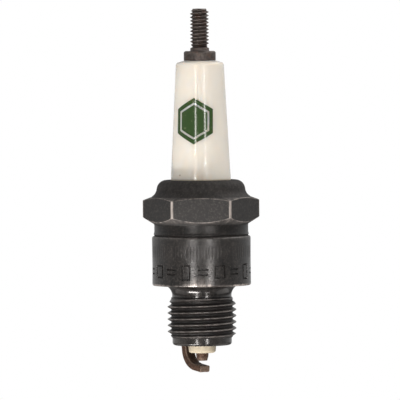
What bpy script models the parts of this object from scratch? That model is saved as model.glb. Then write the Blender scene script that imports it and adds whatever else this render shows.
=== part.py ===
"""Engine spark plug: M14 x 1.25 short-reach shell, M4 threaded terminal, one bent ground electrode.

Lengths are in metres. The origin is the centre of the flat gasket seat and +Z runs along the axis
to the terminal. Two corners of the hexagon lie on X. Every outline is a list of (radius, height).
"""

import math

import bmesh
import bpy
from mathutils import Matrix

MM = 0.001
GAP = 0.3 * MM  # between pieces that rest on each other
BOND = 0.1 * MM  # between pieces that are welded or cast together
MERGE = 1e-6
OVERLAP = 0.05 * MM
CLEAR = 1.0 * MM  # how far a cutter runs past what it cuts

LARGE_SEGMENTS = 48
SMALL_SEGMENTS = 20
RING_SEGMENTS = 30

# Shell
CRIMP_TOP = 21.3 * MM
CRIMP_ROUND = 1.95 * MM
CRIMP_ROUND_R = 7.0 * MM
CRIMP_ROUND_END = 12.0  # degrees from level
COLLAR_R = 8.95 * MM
FLARE_ROUND = 2.0 * MM
FLARE_Z = 19.7 * MM
FLARE_START = 185.0  # degrees, of the arc from the collar out to the hexagon
FLARE_END = 240.0
LIP_BORE_R = 6.4 * MM
LIP_THICKNESS = 1.05 * MM
CHAMBER_R = 7.6 * MM

HEX_ACROSS_FLATS = 20.55 * MM
HEX_EDGE_ROUND = 0.6 * MM
HEX_TOP = 17.9 * MM
HEX_BOTTOM = 12.4 * MM
HEX_TOP_R = 9.2 * MM  # where each chamfer's cone is cut off, inside the shell
HEX_BOTTOM_R = 9.0 * MM
HEX_TOP_SLOPE = 0.36
HEX_BOTTOM_SLOPE = 0.605
INSIDE_HEX = 0.4 * MM  # how far the turned outline runs on inside the hexagon

NECK_R = 9.49 * MM
NECK_BOTTOM = 10.8 * MM
NECK_STEP_R = 9.61 * MM
NECK_STEP_Z = 10.35 * MM
BODY_R = 9.97 * MM
BODY_TOP = 9.75 * MM
BODY_EDGE = 0.14 * MM
BODY_WAIST_R = 9.93 * MM
BODY_WAIST_Z = 5.6 * MM
BODY_CORNER = 0.3 * MM

SEAT_FILLET = 2.3 * MM
RELIEF_R = 6.0 * MM
RELIEF_FILLET_Z = -2.1 * MM
THREAD_TOP = -2.35 * MM
THREAD_BOTTOM = -10.6 * MM
SHELL_END = -12.1 * MM
PILOT_CORNER = 0.6 * MM
BORE_CHAMFER = 0.1 * MM

MAIN_PITCH = 1.25 * MM
MAIN_MAJOR_R = 6.95 * MM
MAIN_MINOR_R = 6.2 * MM
CORE_SHOULDER = 0.2 * MM  # from the relief's radius out to the thread's root
MAIN_CREST_Z = -3.7 * MM  # height of a crest where it crosses the X axis
MAIN_FADE_TOP = (-2.7 * MM, 0.6)  # height where the ridge begins, and its growth in radius per height
MAIN_FADE_BOTTOM = (-10.3 * MM, 1.4)
RIDGE_ROOT_HALF = 0.45  # half the ridge's width as a share of the pitch, at its root and its crest
RIDGE_CREST_HALF = 0.05
TRIM_CLEAR = 0.4 * MM  # from a crest out to the edge of the body that trims the ridge
RIDGE_SUNK = 0.2  # how far the ridge is sunk into the core, as a share of the pitch

SEAT_CONE_TOP = 4.0 * MM
SEAT_CONE_SLOPE = 0.615
LOWER_BORE_R = 4.1 * MM

# Insulator
INSULATOR_TOP = 45.05 * MM
INSULATOR_TOP_R = 4.86 * MM
INSULATOR_CORNER = 0.65 * MM
INSULATOR_CHAMFER = 0.4 * MM
INSULATOR_STEM_R = 6.06 * MM
SHOULDER_TOP = 14.5 * MM
SHOULDER_BOTTOM = 13.7 * MM
BAND_R = CHAMBER_R - GAP
NOSE_TOP_R = 3.75 * MM
NOSE_TOP = 1.5 * MM
NOSE_END_R = 2.75 * MM
NOSE_END = -13.7 * MM
NOSE_CORNER = 0.6 * MM
UPPER_BORE_R = 2.15 * MM
BORE_STEP_TOP = 2.4 * MM
BORE_STEP_BOTTOM = 1.6 * MM

# Packing
GASKET_THICKNESS = 0.5 * MM
GASKET_INNER_R = 4.8 * MM
GASKET_OUTER_R = 6.8 * MM
RING_WIRE_R = 0.44 * MM
RING_WIRE_SIDES = 6
TALC_HEIGHT = 2.9 * MM

# Terminal stud
STUD_TOP = 55.9 * MM
STUD_PITCH = 0.7 * MM
STUD_MAJOR_R = 1.9 * MM
STUD_MINOR_R = 1.44 * MM
STUD_CREST_Z = 55.14 * MM  # height of a crest where it crosses the X axis
STUD_FADE_TOP = (55.52 * MM, 1.2)
STUD_FADE_BOTTOM = (48.0 * MM, 0.5)
STUD_COLLAR_R = 1.88 * MM
STUD_COLLAR_TOP = 47.95 * MM
FLANGE_R = 3.23 * MM
FLANGE_TOP = 47.3 * MM
FLANGE_BOTTOM = 45.35 * MM
FLANGE_CORNER = 0.5 * MM
STUD_POINT = 0.3 * MM
STUD_BREAK = 0.15 * MM  # small chamfers on the collar and under the flange
SHANK_R = 1.9 * MM
SHANK_STEP = 0.2 * MM
SHANK_GRIP_TOP = 13.2 * MM
SHANK_GRIP_R = 1.55 * MM
SHANK_GROOVE_DEPTH = 0.22 * MM
SHANK_GROOVES = 5
SHANK_END = 8.0 * MM

# Centre electrode, its core and the glass above it
ELECTRODE_R = 1.25 * MM
ELECTRODE_END = -15.3 * MM
ELECTRODE_ROUND = 0.25 * MM
HEAD_R = 2.0 * MM
HEAD_TOP = 3.5 * MM
CORE_R = 0.65 * MM
CORE_TOP = 3.3 * MM
CORE_END = -13.9 * MM
CORE_POINT = 0.25 * MM
HEAD_LIFT = 0.2 * MM  # of the electrode's head above the step in the bore
GLASS_TOP = 13.0 * MM

# Ground electrode
STRIP_WIDTH = 2.5 * MM
STRIP_THICKNESS = 1.35 * MM
STRIP_EDGE_ROUND = 0.22 * MM
STRIP_EDGE_LIMIT = 50.0  # degrees, above which an edge of the strip is rounded
STRIP_OUTER_R = 5.37 * MM
STRIP_LEAN = 7.1  # degrees from the axis, where the strip leaves the shell
STRIP_LEG = 1.25 * MM
STRIP_BEND_R = 4.45 * MM  # of the outer face
STRIP_BEND = 74.6  # degrees
STRIP_FOOT = 2.27 * MM
STRIP_AZIMUTH = 129.0  # degrees from +X, of the place where the strip is welded
STRIP_BEND_STEPS = 12


def clear_scene():
    for old in list(bpy.data.objects):
        bpy.data.objects.remove(old, do_unlink=True)


def new_collection(name):
    collection = bpy.data.collections.new(name)
    bpy.context.scene.collection.children.link(collection)
    return collection


def material(name, colour, roughness, metallic=0.0):
    made = bpy.data.materials.new(name)
    made.use_nodes = True
    shader = made.node_tree.nodes["Principled BSDF"]
    shader.inputs["Base Color"].default_value = (*colour, 1.0)
    shader.inputs["Roughness"].default_value = roughness
    shader.inputs["Metallic"].default_value = metallic
    return made


def arc(centre, radius, start, end, steps):
    """Points along an arc from one angle to another, in degrees from the direction of growing radius."""
    points = []
    for i in range(steps + 1):
        angle = math.radians(start + (end - start) * i / steps)
        points.append((centre[0] + radius * math.cos(angle), centre[1] + radius * math.sin(angle)))
    return points


def outline_mesh(name, outline, closed):
    """A mesh of edges through the outline's points, in the XZ plane."""
    mesh = bpy.data.meshes.new(name)
    points = [(radius, 0.0, height) for radius, height in outline]
    edges = [(i, i + 1) for i in range(len(points) - 1)]
    if closed:
        edges.append((len(points) - 1, 0))
    mesh.from_pydata(points, edges, [])
    return mesh


def add_screw(obj, segments, pitch=0.0, turns=1):
    screw = obj.modifiers.new("Turn", "SCREW")
    screw.axis = "Z"
    screw.steps = segments
    screw.render_steps = segments
    screw.screw_offset = pitch
    screw.iterations = turns
    screw.use_merge_vertices = pitch == 0.0
    screw.merge_threshold = MERGE
    screw.use_smooth_shade = True
    return screw


def turned(collection, name, outline, segments, closed=False):
    """A turned piece. The outline runs down the outer side; a closed one makes a ring."""
    obj = bpy.data.objects.new(name, outline_mesh(name, outline, closed))
    collection.objects.link(obj)
    add_screw(obj, segments)
    return obj


def as_helper(obj):
    obj.hide_render = True
    obj.display_type = "WIRE"
    return obj


def boolean(obj, other, operation):
    made = obj.modifiers.new(operation.title(), "BOOLEAN")
    made.operation = operation
    made.solver = "EXACT"
    made.object = other


def helical_ridge(name, pitch, root_r, crest_r, crest_z, low, high, segments):
    """A closed right-handed ridge from below low to above high, with a crest at crest_z on the X axis."""
    half_root = RIDGE_ROOT_HALF * pitch
    half_crest = RIDGE_CREST_HALF * pitch
    turns_down = math.ceil((crest_z - low) / pitch) + 1
    turns = turns_down + math.ceil((high - crest_z) / pitch) + 1
    start = crest_z - turns_down * pitch
    outline = [
        (root_r, start + half_root),
        (crest_r, start + half_crest),
        (crest_r, start - half_crest),
        (root_r, start - half_root),
    ]
    guide = bpy.data.objects.new(name, outline_mesh(name, outline, True))
    cutters.objects.link(guide)
    add_screw(guide, segments, pitch, turns)
    graph = bpy.context.evaluated_depsgraph_get()
    mesh = bpy.data.meshes.new_from_object(guide.evaluated_get(graph))
    bpy.data.objects.remove(guide)
    shape = bmesh.new()
    shape.from_mesh(mesh)
    open_edges = [edge for edge in shape.edges if edge.is_boundary]
    bmesh.ops.holes_fill(shape, edges=open_edges, sides=0)
    bmesh.ops.recalc_face_normals(shape, faces=shape.faces)
    shape.to_mesh(mesh)
    shape.free()
    ridge = bpy.data.objects.new(name, mesh)
    cutters.objects.link(ridge)
    return as_helper(ridge)


def thread(name, pitch, minor_r, major_r, crest_z, top, bottom, segments):
    """A helical ridge whose height fades out at both ends. top and bottom are (height, slope) pairs:
    where the fading cone leaves the core, and how fast the ridge grows from there."""
    sunk_r = minor_r - RIDGE_SUNK * pitch
    start_r = sunk_r - OVERLAP
    clear_r = major_r + TRIM_CLEAR
    start_top = top[0] + (minor_r - start_r) / top[1]
    start_bottom = bottom[0] - (minor_r - start_r) / bottom[1]
    envelope = [
        (0.0, start_top),
        (start_r, start_top),
        (clear_r, start_top - (clear_r - start_r) / top[1]),
        (clear_r, start_bottom + (clear_r - start_r) / bottom[1]),
        (start_r, start_bottom),
        (0.0, start_bottom),
    ]
    ridge = helical_ridge(name, pitch, sunk_r, major_r, crest_z, start_bottom, start_top, segments)
    trim = as_helper(turned(cutters, name + "_trim", envelope, segments))
    boolean(ridge, trim, "INTERSECT")
    return ridge


def hexagon():
    """The wrench hexagon: rounded corners, and a turned chamfer above and below."""
    corner_r = HEX_ACROSS_FLATS / math.sqrt(3.0)
    middle = (HEX_TOP + HEX_BOTTOM) / 2
    shape = bmesh.new()
    bmesh.ops.create_cone(
        shape,
        cap_ends=True,
        segments=6,
        radius1=corner_r,
        radius2=corner_r,
        depth=2 * (HEX_TOP - HEX_BOTTOM),
        matrix=Matrix.Translation((0.0, 0.0, middle)) @ Matrix.Rotation(math.radians(30.0), 4, "Z"),
    )
    upright = [edge for edge in shape.edges if abs(edge.verts[0].co.z - edge.verts[1].co.z) > MM]
    setback = HEX_EDGE_ROUND * math.tan(math.radians(30.0))
    bmesh.ops.bevel(shape, geom=upright, offset=setback, segments=3, profile=0.5, affect="EDGES")
    mesh = bpy.data.meshes.new("hexagon")
    shape.to_mesh(mesh)
    shape.free()
    prism = bpy.data.objects.new("hexagon", mesh)
    cutters.objects.link(prism)

    outer = corner_r + CLEAR
    flare_r = COLLAR_R + FLARE_ROUND / 2
    top = HEX_TOP + (flare_r - HEX_TOP_R) * HEX_TOP_SLOPE
    bottom = HEX_BOTTOM - (NECK_R - HEX_BOTTOM_R) * HEX_BOTTOM_SLOPE
    disc = [
        (0.0, top),
        (HEX_TOP_R, top),
        (outer, top - (outer - HEX_TOP_R) * HEX_TOP_SLOPE),
        (outer, bottom + (outer - HEX_BOTTOM_R) * HEX_BOTTOM_SLOPE),
        (HEX_BOTTOM_R, bottom),
        (0.0, bottom),
    ]
    chamfer = as_helper(turned(cutters, "hexagon_chamfer", disc, LARGE_SEGMENTS))
    boolean(prism, chamfer, "INTERSECT")
    return as_helper(prism)


def shell_outline():
    seat_angle = 180.0 - math.degrees(math.asin(-RELIEF_FILLET_Z / SEAT_FILLET))
    flare_centre = (COLLAR_R + FLARE_ROUND, FLARE_Z)
    outline = [(0.0, CRIMP_TOP)]
    outline += arc((CRIMP_ROUND_R, CRIMP_TOP - CRIMP_ROUND), CRIMP_ROUND, 90.0, CRIMP_ROUND_END, 6)
    outline += arc(flare_centre, FLARE_ROUND, FLARE_START, FLARE_END, 4)
    under_flare = outline[-1][0]
    outline += [
        (under_flare, HEX_TOP - INSIDE_HEX),
        (NECK_R, HEX_BOTTOM + INSIDE_HEX),
        (NECK_R, NECK_BOTTOM),
        (NECK_STEP_R, NECK_STEP_Z),
        (BODY_R - BODY_EDGE, BODY_TOP + BODY_EDGE),
        (BODY_R, BODY_TOP),
        (BODY_WAIST_R, BODY_WAIST_Z),
    ]
    outline += arc((BODY_R - BODY_CORNER, BODY_CORNER), BODY_CORNER, 0.0, -90.0, 3)
    outline += arc((RELIEF_R + SEAT_FILLET, RELIEF_FILLET_Z), SEAT_FILLET, seat_angle, 180.0, 5)
    outline += [
        (RELIEF_R, THREAD_TOP),
        (MAIN_MINOR_R, THREAD_TOP - CORE_SHOULDER),
        (MAIN_MINOR_R, THREAD_BOTTOM + CORE_SHOULDER),
        (RELIEF_R, THREAD_BOTTOM),
    ]
    outline += arc((RELIEF_R - PILOT_CORNER, SHELL_END + PILOT_CORNER), PILOT_CORNER, 0.0, -90.0, 4)
    outline.append((0.0, SHELL_END))
    return outline


def seat_cone_z(radius):
    """Height of the shell's inner seat at a radius."""
    return SEAT_CONE_TOP - (CHAMBER_R - radius) * SEAT_CONE_SLOPE


def make_shell():
    shell = turned(parts, "shell", shell_outline(), LARGE_SEGMENTS)
    boolean(shell, hexagon(), "UNION")

    ridge = thread(
        "main_thread",
        MAIN_PITCH,
        MAIN_MINOR_R,
        MAIN_MAJOR_R,
        MAIN_CREST_Z,
        MAIN_FADE_TOP,
        MAIN_FADE_BOTTOM,
        LARGE_SEGMENTS,
    )
    boolean(shell, ridge, "UNION")

    lip_bottom = CRIMP_TOP - LIP_THICKNESS
    bore = [
        (0.0, CRIMP_TOP + CLEAR),
        (LIP_BORE_R, CRIMP_TOP + CLEAR),
        (LIP_BORE_R, lip_bottom),
        (CHAMBER_R, lip_bottom),
        (CHAMBER_R, SEAT_CONE_TOP),
        (LOWER_BORE_R, seat_cone_z(LOWER_BORE_R)),
        (LOWER_BORE_R, SHELL_END + BORE_CHAMFER),
        (LOWER_BORE_R + BORE_CHAMFER + CLEAR, SHELL_END - CLEAR),
        (0.0, SHELL_END - CLEAR),
    ]
    boolean(shell, as_helper(turned(cutters, "shell_bore", bore, LARGE_SEGMENTS)), "DIFFERENCE")
    return shell


def make_insulator():
    packing = GASKET_THICKNESS + 2 * GAP
    lift = packing * math.hypot(1.0, SEAT_CONE_SLOPE)
    lower_bore_r = ELECTRODE_R + BOND
    outline = [
        (UPPER_BORE_R, INSULATOR_TOP - INSULATOR_CHAMFER),
        (UPPER_BORE_R + INSULATOR_CHAMFER, INSULATOR_TOP),
    ]
    corner = (INSULATOR_TOP_R - INSULATOR_CORNER, INSULATOR_TOP - INSULATOR_CORNER)
    outline += arc(corner, INSULATOR_CORNER, 90.0, 0.0, 4)
    outline += [
        (INSULATOR_STEM_R, CRIMP_TOP),
        (INSULATOR_STEM_R, SHOULDER_TOP),
        (BAND_R, SHOULDER_BOTTOM),
        (BAND_R, seat_cone_z(BAND_R) + lift),
        (NOSE_TOP_R, seat_cone_z(NOSE_TOP_R) + lift),
        (NOSE_TOP_R, NOSE_TOP),
    ]
    outline += arc((NOSE_END_R - NOSE_CORNER, NOSE_END + NOSE_CORNER), NOSE_CORNER, 0.0, -90.0, 4)
    outline += [
        (lower_bore_r, NOSE_END),
        (lower_bore_r, BORE_STEP_BOTTOM),
        (UPPER_BORE_R, BORE_STEP_TOP),
    ]
    return turned(parts, "insulator", outline, LARGE_SEGMENTS, closed=True)


def make_inner_gasket():
    low = GAP * math.hypot(1.0, SEAT_CONE_SLOPE)
    high = low + GASKET_THICKNESS * math.hypot(1.0, SEAT_CONE_SLOPE)
    outline = [
        (GASKET_INNER_R, seat_cone_z(GASKET_INNER_R) + high),
        (GASKET_OUTER_R, seat_cone_z(GASKET_OUTER_R) + high),
        (GASKET_OUTER_R, seat_cone_z(GASKET_OUTER_R) + low),
        (GASKET_INNER_R, seat_cone_z(GASKET_INNER_R) + low),
    ]
    return turned(parts, "inner_gasket", outline, RING_SEGMENTS, closed=True)


def make_packing():
    """The wire ring, the pressed talc and the second wire ring, stacked down from the crimped lip."""
    middle_r = (INSULATOR_STEM_R + CHAMBER_R) / 2
    upper_z = CRIMP_TOP - LIP_THICKNESS - GAP - RING_WIRE_R
    talc_top = upper_z - RING_WIRE_R - GAP
    talc_bottom = talc_top - TALC_HEIGHT
    lower_z = talc_bottom - GAP - RING_WIRE_R
    rings = []
    for name, height in (("upper_packing_ring", upper_z), ("lower_packing_ring", lower_z)):
        section = arc((middle_r, height), RING_WIRE_R, 180.0, -180.0, RING_WIRE_SIDES)[:-1]
        rings.append(turned(parts, name, section, RING_SEGMENTS, closed=True))
    inner_r = INSULATOR_STEM_R + GAP
    outer_r = CHAMBER_R - GAP
    block = [(inner_r, talc_top), (outer_r, talc_top), (outer_r, talc_bottom), (inner_r, talc_bottom)]
    return rings, turned(parts, "talc_packing", block, RING_SEGMENTS, closed=True)


def stud_outline():
    outline = [
        (0.0, STUD_TOP),
        (STUD_MINOR_R - STUD_POINT, STUD_TOP),
        (STUD_MINOR_R, STUD_TOP - STUD_POINT),
        (STUD_MINOR_R, STUD_COLLAR_TOP + STUD_BREAK),
        (STUD_COLLAR_R, STUD_COLLAR_TOP),
        (STUD_COLLAR_R, FLANGE_TOP),
    ]
    outline += arc((FLANGE_R - FLANGE_CORNER, FLANGE_TOP - FLANGE_CORNER), FLANGE_CORNER, 90.0, 0.0, 4)
    outline += [
        (FLANGE_R, FLANGE_BOTTOM + STUD_BREAK),
        (FLANGE_R - STUD_BREAK, FLANGE_BOTTOM),
        (SHANK_R, FLANGE_BOTTOM),
        (SHANK_R, SHANK_GRIP_TOP + SHANK_STEP),
    ]
    groove_pitch = (SHANK_GRIP_TOP - SHANK_END) / (SHANK_GROOVES + 1)
    for i in range(SHANK_GROOVES):
        crest = SHANK_GRIP_TOP - i * groove_pitch
        outline.append((SHANK_GRIP_R, crest))
        outline.append((SHANK_GRIP_R - SHANK_GROOVE_DEPTH, crest - groove_pitch / 2))
    outline += [
        (SHANK_GRIP_R, SHANK_END + groove_pitch),
        (SHANK_GRIP_R, SHANK_END + STUD_POINT),
        (SHANK_GRIP_R - STUD_POINT, SHANK_END),
        (0.0, SHANK_END),
    ]
    return outline


def make_terminal_stud():
    stud = turned(parts, "terminal_stud", stud_outline(), SMALL_SEGMENTS)
    ridge = thread(
        "stud_thread",
        STUD_PITCH,
        STUD_MINOR_R,
        STUD_MAJOR_R,
        STUD_CREST_Z,
        STUD_FADE_TOP,
        STUD_FADE_BOTTOM,
        SMALL_SEGMENTS,
    )
    boolean(stud, ridge, "UNION")
    return stud


def make_centre_electrode():
    cup_r = CORE_R + BOND
    outline = [
        (0.0, CORE_END - BOND),
        (cup_r, CORE_END - BOND),
        (cup_r, HEAD_TOP),
        (HEAD_R, HEAD_TOP),
        (HEAD_R, BORE_STEP_TOP + HEAD_LIFT),
        (ELECTRODE_R, BORE_STEP_BOTTOM + HEAD_LIFT),
    ]
    corner = (ELECTRODE_R - ELECTRODE_ROUND, ELECTRODE_END + ELECTRODE_ROUND)
    outline += arc(corner, ELECTRODE_ROUND, 0.0, -90.0, 3)
    outline.append((0.0, ELECTRODE_END))
    return turned(parts, "centre_electrode", outline, SMALL_SEGMENTS)


def make_electrode_core():
    outline = [
        (0.0, CORE_TOP),
        (CORE_R, CORE_TOP),
        (CORE_R, CORE_END + CORE_POINT),
        (CORE_R - CORE_POINT, CORE_END),
        (0.0, CORE_END),
    ]
    return turned(parts, "electrode_core", outline, SMALL_SEGMENTS)


def make_glass_seal():
    """Glass fused round the stud's grooved end and down to the electrode's head."""
    cup_r = SHANK_GRIP_R + BOND
    outer_r = UPPER_BORE_R - BOND
    outline = [
        (0.0, SHANK_END - BOND),
        (cup_r, SHANK_END - BOND),
        (cup_r, GLASS_TOP),
        (outer_r, GLASS_TOP),
        (outer_r, HEAD_TOP + BOND),
        (0.0, HEAD_TOP + BOND),
    ]
    return turned(parts, "glass_seal", outline, SMALL_SEGMENTS)


def strip_centreline():
    """The strip's middle line as (radius, height): a leaning leg, one bend, and a foot under the gap."""
    half = STRIP_THICKNESS / 2
    lean = math.radians(STRIP_LEAN)
    foot_heading = math.radians(STRIP_LEAN + STRIP_BEND)
    start = (STRIP_OUTER_R - half, SHELL_END - BOND)
    leg_end = (start[0] - STRIP_LEG * math.sin(lean), start[1] - STRIP_LEG * math.cos(lean))
    bend_r = STRIP_BEND_R - half
    centre = (leg_end[0] - bend_r * math.cos(lean), leg_end[1] + bend_r * math.sin(lean))
    points = [start]
    points += arc(centre, bend_r, -STRIP_LEAN, -STRIP_LEAN - STRIP_BEND, STRIP_BEND_STEPS)
    foot_end = (
        points[-1][0] - STRIP_FOOT * math.sin(foot_heading),
        points[-1][1] - STRIP_FOOT * math.cos(foot_heading),
    )
    return points + [foot_end]


def make_ground_electrode():
    """A flat ribbon along the centreline, thickened and with its long edges rounded."""
    curve = bpy.data.curves.new("ground_electrode", "CURVE")
    curve.dimensions = "2D"
    curve.extrude = STRIP_WIDTH / 2
    points = strip_centreline()
    spline = curve.splines.new("POLY")
    spline.points.add(len(points) - 1)
    for point, (radius, height) in zip(spline.points, points):
        point.co = (radius, height, 0.0, 1.0)
    strip = bpy.data.objects.new("ground_electrode", curve)
    parts.objects.link(strip)
    upright = Matrix.Rotation(math.radians(90.0), 4, "X")
    strip.matrix_world = Matrix.Rotation(math.radians(STRIP_AZIMUTH), 4, "Z") @ upright
    thicken = strip.modifiers.new("Thickness", "SOLIDIFY")
    thicken.thickness = STRIP_THICKNESS
    thicken.offset = 0.0
    thicken.use_even_offset = True
    weld = strip.modifiers.new("Weld", "WELD")
    weld.merge_threshold = MERGE
    rounding = strip.modifiers.new("Edges", "BEVEL")
    rounding.width = STRIP_EDGE_ROUND
    rounding.segments = 2
    rounding.limit_method = "ANGLE"
    rounding.angle_limit = math.radians(STRIP_EDGE_LIMIT)
    return strip


def paint(obj, finish):
    obj.data.materials.clear()
    obj.data.materials.append(finish)


clear_scene()
parts = new_collection("spark_plug")
cutters = new_collection("cutters")

blackened_steel = material("blackened_steel", (0.05, 0.047, 0.045), 0.38, 0.9)
glazed_ceramic = material("glazed_ceramic", (0.8, 0.74, 0.63), 0.12)
dark_steel = material("dark_steel", (0.06, 0.045, 0.038), 0.5, 0.85)
nickel_alloy = material("nickel_alloy", (0.13, 0.085, 0.06), 0.55, 0.8)
copper = material("copper", (0.72, 0.32, 0.2), 0.3, 1.0)
seal_glass = material("seal_glass", (0.12, 0.11, 0.1), 0.2)
packing_steel = material("packing_steel", (0.42, 0.41, 0.4), 0.4, 1.0)
talc = material("talc", (0.72, 0.7, 0.66), 0.9)

packing_rings, talc_packing = make_packing()
paint(make_shell(), blackened_steel)
paint(make_insulator(), glazed_ceramic)
paint(make_terminal_stud(), dark_steel)
paint(make_centre_electrode(), nickel_alloy)
paint(make_ground_electrode(), nickel_alloy)
paint(make_electrode_core(), copper)
paint(make_glass_seal(), seal_glass)
paint(make_inner_gasket(), packing_steel)
paint(talc_packing, talc)
for packing_ring in packing_rings:
    paint(packing_ring, packing_steel)
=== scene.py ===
"""A used spark plug, upright against white.

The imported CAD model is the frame. Each piece that shows is rebuilt here as a finer mesh in the same
place, and the pieces sealed inside the plug keep their CAD shape and get materials. Outlines are
lists of (radius, height) in millimetres, which Skin turns into metres. Angles run from +X towards
+Y, so the camera, which looks along +Y, faces the angle -90.
"""

import math

import bmesh
import bpy
from mathutils import Euler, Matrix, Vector, noise


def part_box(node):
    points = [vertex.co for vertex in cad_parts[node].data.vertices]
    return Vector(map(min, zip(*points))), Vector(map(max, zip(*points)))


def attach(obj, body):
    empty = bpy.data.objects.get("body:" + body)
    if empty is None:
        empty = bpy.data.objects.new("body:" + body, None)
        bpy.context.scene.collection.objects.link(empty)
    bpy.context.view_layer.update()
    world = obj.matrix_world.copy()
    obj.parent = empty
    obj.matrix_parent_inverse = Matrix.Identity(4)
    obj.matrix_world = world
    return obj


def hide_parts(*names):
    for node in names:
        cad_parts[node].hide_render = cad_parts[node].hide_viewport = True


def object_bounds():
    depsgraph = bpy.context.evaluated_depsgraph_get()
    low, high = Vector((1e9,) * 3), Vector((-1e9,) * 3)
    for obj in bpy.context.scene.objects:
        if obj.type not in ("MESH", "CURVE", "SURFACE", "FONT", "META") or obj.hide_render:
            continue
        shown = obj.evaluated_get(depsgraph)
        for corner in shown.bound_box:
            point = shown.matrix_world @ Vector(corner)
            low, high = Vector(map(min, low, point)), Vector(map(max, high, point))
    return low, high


MM = 0.001
TURN = 2 * math.pi

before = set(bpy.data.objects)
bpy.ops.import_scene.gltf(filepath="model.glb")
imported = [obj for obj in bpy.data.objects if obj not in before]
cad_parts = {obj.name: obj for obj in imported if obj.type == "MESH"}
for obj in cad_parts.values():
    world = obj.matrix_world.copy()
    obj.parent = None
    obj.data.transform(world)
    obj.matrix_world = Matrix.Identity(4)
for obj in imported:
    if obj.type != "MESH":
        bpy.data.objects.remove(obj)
cad_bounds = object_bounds()


def box_mm(node):
    """The lowest and the highest corner of a CAD node, in millimetres."""
    return [[value / MM for value in corner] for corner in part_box(node)]


# ---- surfaces made of rings


class Skin:
    """A surface made of rings of points around the Z axis. Each point carries wear and grime_and_shade, 0 to
    1; grime_and_shade is dirt, and painted shade in some hollows.
    """

    def __init__(self):
        self.points = []
        self.wear = []
        self.grime_and_shade = []
        self.faces = []
        self.first = None
        self.last = None

    def point(self, angle, radius, height, wear=0.0, grime_and_shade=0.0):
        self.points.append((radius * math.cos(angle) * MM, radius * math.sin(angle) * MM, height * MM))
        self.wear.append(wear)
        self.grime_and_shade.append(grime_and_shade)
        return len(self.points) - 1

    def face(self, *corners):
        kept = without_repeats(corners)
        if len(kept) > 2:
            self.faces.append(kept)

    def ring(self, angles, shape):
        """Adds a ring, filled up to the last one. shape(angle) gives radius, height, wear and
        grime_and_shade.
        """
        ring = (angles, [self.point(angle, *shape(angle)) for angle in angles])
        if self.last is None:
            self.first = ring
        else:
            self.bridge(self.last, ring)
        self.last = ring

    def rings(self, angles, outline):
        """Adds a plain turned ring for each (radius, height, wear, grime_and_shade) of the outline."""
        for spot in outline:
            self.ring(angles, lambda angle, spot=spot: spot)

    def shaped_rings(self, angles, outline, shape_at):
        """Adds a ring for each (radius, height) of the outline, where shape_at gives its shape."""
        for radius, height in outline:
            self.ring(angles, shape_at(radius, height))

    def bridge(self, upper, lower):
        """Fills between two rings, with a triangle where only one of them has an angle."""
        angles_a, a = upper
        angles_b, b = lower
        ends_a = [*angles_a[1:], TURN, 2 * TURN]
        ends_b = [*angles_b[1:], TURN, 2 * TURN]
        i = j = 0
        while i < len(a) or j < len(b):
            here_a, next_a = a[i % len(a)], a[(i + 1) % len(a)]
            here_b, next_b = b[j % len(b)], b[(j + 1) % len(b)]
            if abs(ends_a[i] - ends_b[j]) < 1e-7:
                self.face(here_a, next_a, next_b, here_b)
                i += 1
                j += 1
            elif ends_a[i] < ends_b[j]:
                self.face(here_a, next_a, here_b)
                i += 1
            else:
                self.face(here_a, next_b, here_b)
                j += 1

    def fan(self, height):
        """Fills between the last ring and one point on the axis."""
        tip = self.point(0.0, 0.0, height)
        ids = self.last[1]
        for i, here in enumerate(ids):
            self.face(here, ids[(i + 1) % len(ids)], tip)

    def close(self):
        self.bridge(self.last, self.first)

    def helix(self, bottom, pitch, crest_z, profile, shape):
        """Rows that follow a right-handed thread, from the last ring down to a ring of bottom spots.

        bottom is (radius, height, wear, grime_and_shade), and profile lists (share of the pitch below a
        crest, value). shape(value, height, angle) gives radius, wear and grime_and_shade. Rows that run past
        either ring end on it.
        """
        angles, top_ids = self.last
        bottom_ids = [self.point(angle, *bottom) for angle in angles]
        top_z = self.points[top_ids[0]][2] / MM
        bottom_z = bottom[1]
        margin = 0.04 * pitch
        per_turn = len(profile)
        first_turn = math.ceil((top_z - crest_z) / pitch) + 1
        turns = math.ceil((top_z - bottom_z) / pitch) + 4
        rows = []
        for turn in range(turns):
            for share, value in profile:
                base = crest_z + (first_turn - turn - share) * pitch
                row = []
                for column, angle in enumerate(angles):
                    height = base + pitch * (angle / TURN - 1)
                    if height > top_z - margin:
                        row.append(top_ids[column])
                    elif height < bottom_z + margin:
                        row.append(bottom_ids[column])
                    else:
                        radius, wear, grime_and_shade = shape(value, height, angle)
                        row.append(self.point(angle, radius, height, wear, grime_and_shade))
                rows.append(row)
        for k in range(len(rows) - 1):
            above, below = rows[k], rows[k + 1]
            for c in range(len(angles) - 1):
                self.face(above[c], above[c + 1], below[c + 1], below[c])
            # one turn on, a row is one pitch higher, so the seam joins rows a turn apart
            seam_above = rows[k - per_turn][0] if k >= per_turn else top_ids[0]
            seam_below = rows[k + 1 - per_turn][0] if k + 1 >= per_turn else top_ids[0]
            self.face(above[-1], seam_above, seam_below, below[-1])
        self.last = (angles, bottom_ids)

    def finish(self, name, sharp=32.0):
        return finish_mesh(name, self.points, self.faces, sharp, self.wear, self.grime_and_shade)


def without_repeats(corners):
    return [c for i, c in enumerate(corners) if c != corners[i - 1]]


def faces_between(a, b):
    """Faces between two loops of as many points each, given as the points' numbers."""
    following = zip(a, a[1:] + a[:1], b[1:] + b[:1], b)
    return [without_repeats(corners) for corners in following]


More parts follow.
